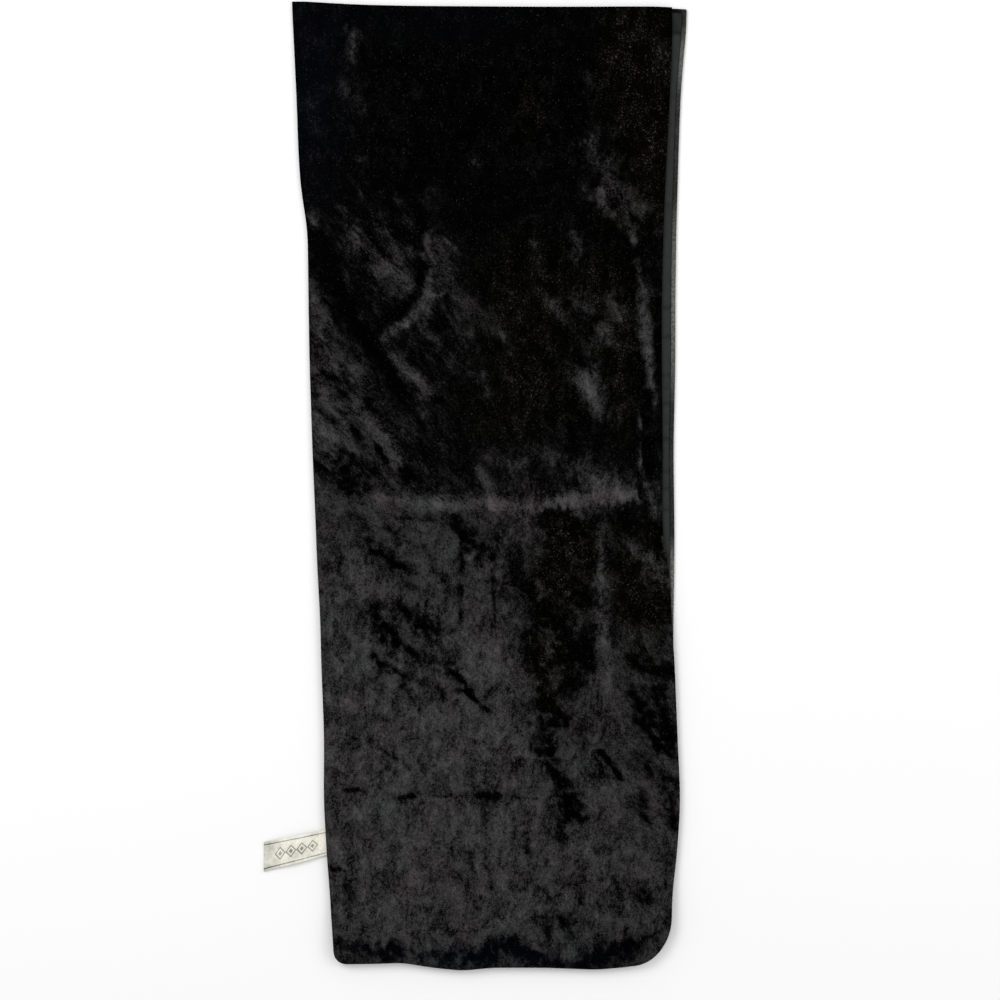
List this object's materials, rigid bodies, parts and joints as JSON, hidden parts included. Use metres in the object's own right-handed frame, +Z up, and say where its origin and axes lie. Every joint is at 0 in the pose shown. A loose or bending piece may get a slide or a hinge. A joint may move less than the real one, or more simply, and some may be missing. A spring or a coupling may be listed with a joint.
{
  "type": "evening stole",
  "caption": "Black crushed-velvet evening stole with a charcoal lining, folded once crosswise and laid flat, with its woven label out at one side.",
  "frame": {"origin": "on the surface that the stole lies on, under the middle of its box", "axes": "+Z up off the surface; +Y along the stole, from the fold towards the two sewn ends; +X across it, towards the side where the under layer and its lining peek out"},
  "size_m": [0.4288, 0.9812, 0.0114],
  "materials": {
    "velvet": "crushed velvet, near-black pile with charcoal patches where the nap is turned",
    "lining": "smooth charcoal lining cloth, faint satin sheen",
    "label": "silver-ivory woven satin ribbon"
  },
  "bodies": {
    "root": {"velvet_shell": "velvet", "lining": "lining", "label": "label"}
  },
  "joints": []
}
